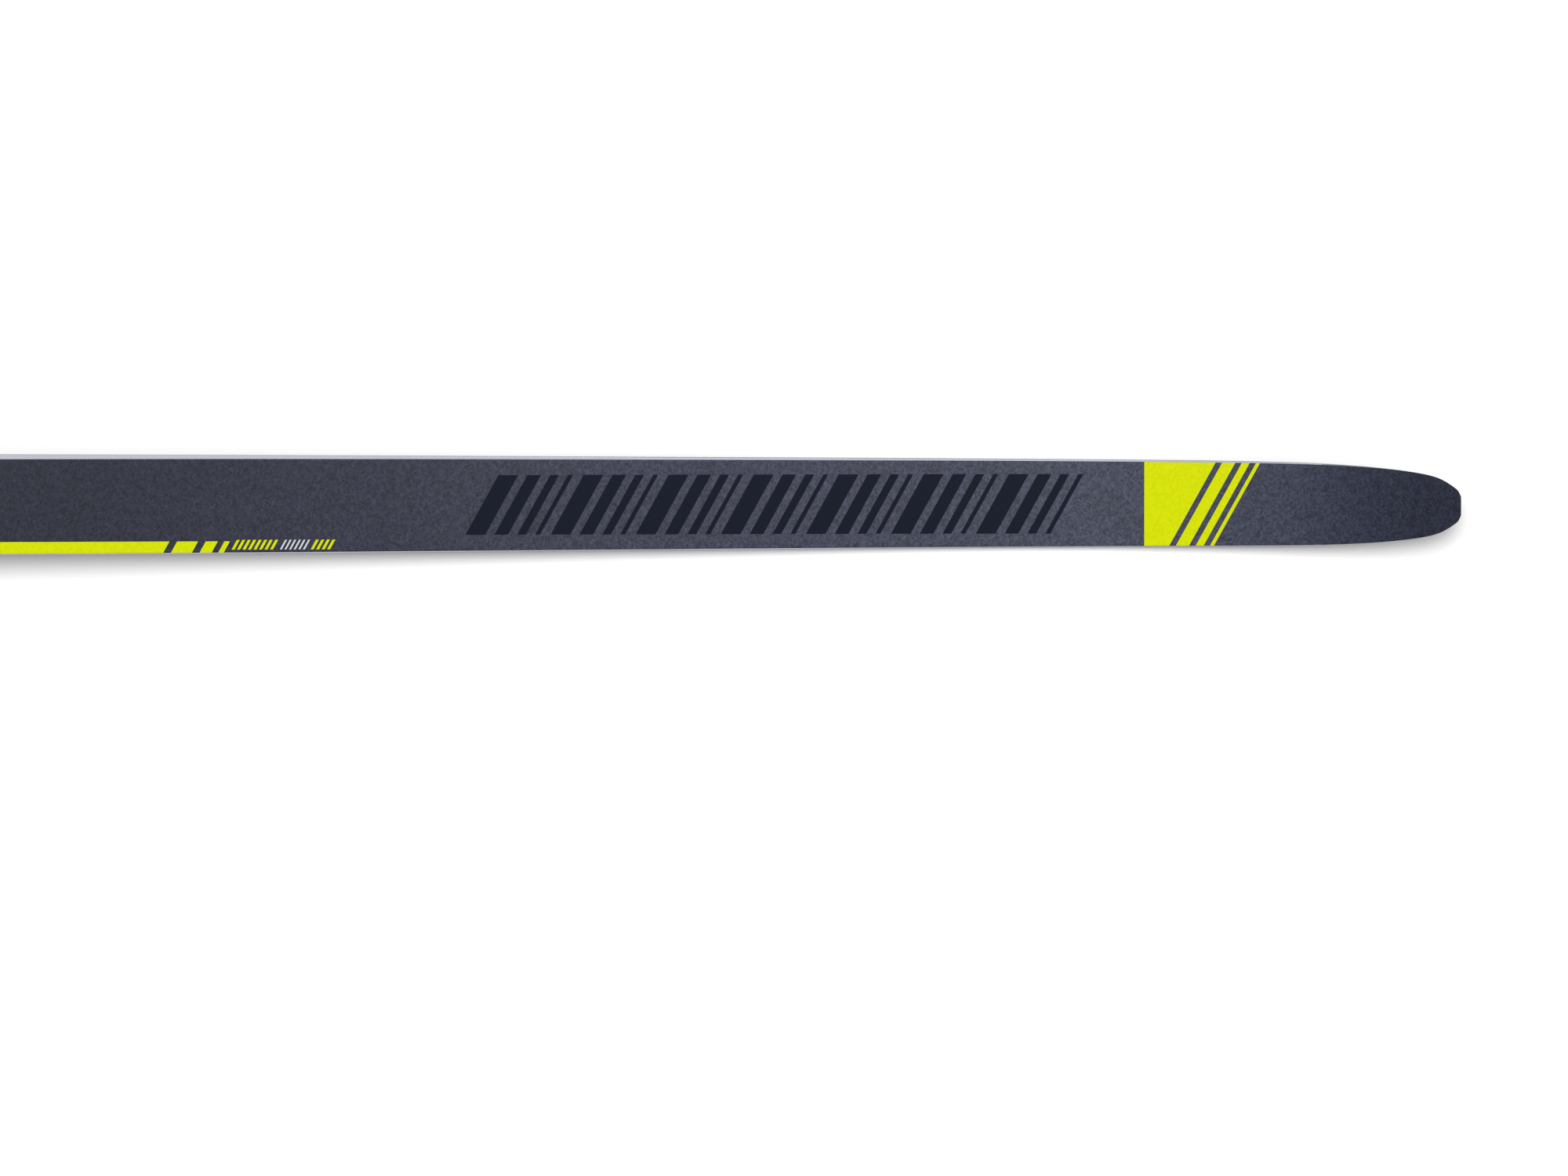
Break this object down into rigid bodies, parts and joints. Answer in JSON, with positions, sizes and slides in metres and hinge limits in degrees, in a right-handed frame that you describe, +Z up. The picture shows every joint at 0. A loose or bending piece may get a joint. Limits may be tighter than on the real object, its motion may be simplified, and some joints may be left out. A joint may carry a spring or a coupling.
{
  "type": "cross country ski",
  "caption": "Skating ski with a sandwich build, upturned narrow tip, arched camber and a slide-on binding: lever-opened sprung jaw, rubber flexor, locking flaps and heel rest.",
  "frame": {"origin": "on the floor under the middle of the ski, halfway between tip and tail", "axes": "+X along the ski to the tip, +Y across it to the skier's left, +Z up out of the top sheet"},
  "size_m": [1.86, 0.047, 0.073],
  "materials": {
    "sole": "structured black polyethylene",
    "fibre": "cured glass fibre laminate, pale",
    "core_wood": "light softwood strips",
    "black_plastic": "satin black",
    "sidewall": "silver lavender, satin",
    "glass_mat": "glass fibre mat",
    "top_sheet": "charcoal with fine metallic flake",
    "nylon": "moulded, fine texture",
    "grey_nylon": "moulded, satin",
    "rubber": "matt",
    "steel": "bright"
  },
  "bodies": {
    "ski": {"base_front": "sole", "base_middle": "sole", "base_rear": "sole", "lower_laminate": "fibre", "core_front": "core_wood", "core_middle": "core_wood", "core_rear": "core_wood", "tip_spacer": "black_plastic", "tail_spacer": "black_plastic", "sidewall_left": "sidewall", "sidewall_right": "sidewall", "binding_reinforcement": "glass_mat", "upper_laminate": "fibre", "top_sheet": "top_sheet", "tail_protector": "black_plastic", "mounting_plate": "nylon"},
    "toe_unit": {"toe_base": "nylon", "toe_bar_seat": "steel", "jaw_spring": "steel", "flexor": "rubber", "lever_pin": "steel", "toe_latch_pin": "steel", "toe_pad_left": "rubber", "toe_pad_right": "rubber"},
    "jaw": {"jaw": "steel"},
    "lever": {"lever": "grey_nylon"},
    "toe_latch": {"toe_latch": "grey_nylon"},
    "heel_unit": {"heel_base": "nylon", "heel_pad_left": "rubber", "heel_pad_right": "rubber", "heel_latch_pin": "steel"},
    "heel_latch": {"heel_latch": "grey_nylon"}
  },
  "joints": [
    {"name": "toe_slide", "type": "slide", "parent": "ski", "child": "toe_unit", "axis": [1, 0, -0.0038], "range_m": [-0.015, 0.015]},
    {"name": "heel_slide", "type": "slide", "parent": "ski", "child": "heel_unit", "axis": [0.9993, 0, 0.0369], "range_m": [-0.015, 0.015]},
    {"name": "lever_hinge", "type": "hinge", "parent": "toe_unit", "child": "lever", "pos_m": [-0.02396, 0, 0.06245], "axis": [0, -1, 0], "range_deg": [0, 75], "stiffness_Nm_per_rad": 0.0124, "springref_deg": -50.42},
    {"name": "jaw_slide", "type": "slide", "parent": "toe_unit", "child": "jaw", "axis": [1, 0, -0.0038], "range_m": [0, 0.006], "deforming": ["jaw_spring"]},
    {"name": "toe_latch_hinge", "type": "hinge", "parent": "toe_unit", "child": "toe_latch", "pos_m": [-0.10398, 0, 0.05835], "axis": [0, 1, 0], "range_deg": [0, 55]},
    {"name": "heel_latch_hinge", "type": "hinge", "parent": "heel_unit", "child": "heel_latch", "pos_m": [-0.32221, 0, 0.05266], "axis": [0, 1, 0], "range_deg": [0, 55]}
  ],
  "couplings": [
    {"joint": "jaw_slide", "follows": "lever_hinge", "m_per_rad": 0.004555}
  ]
}
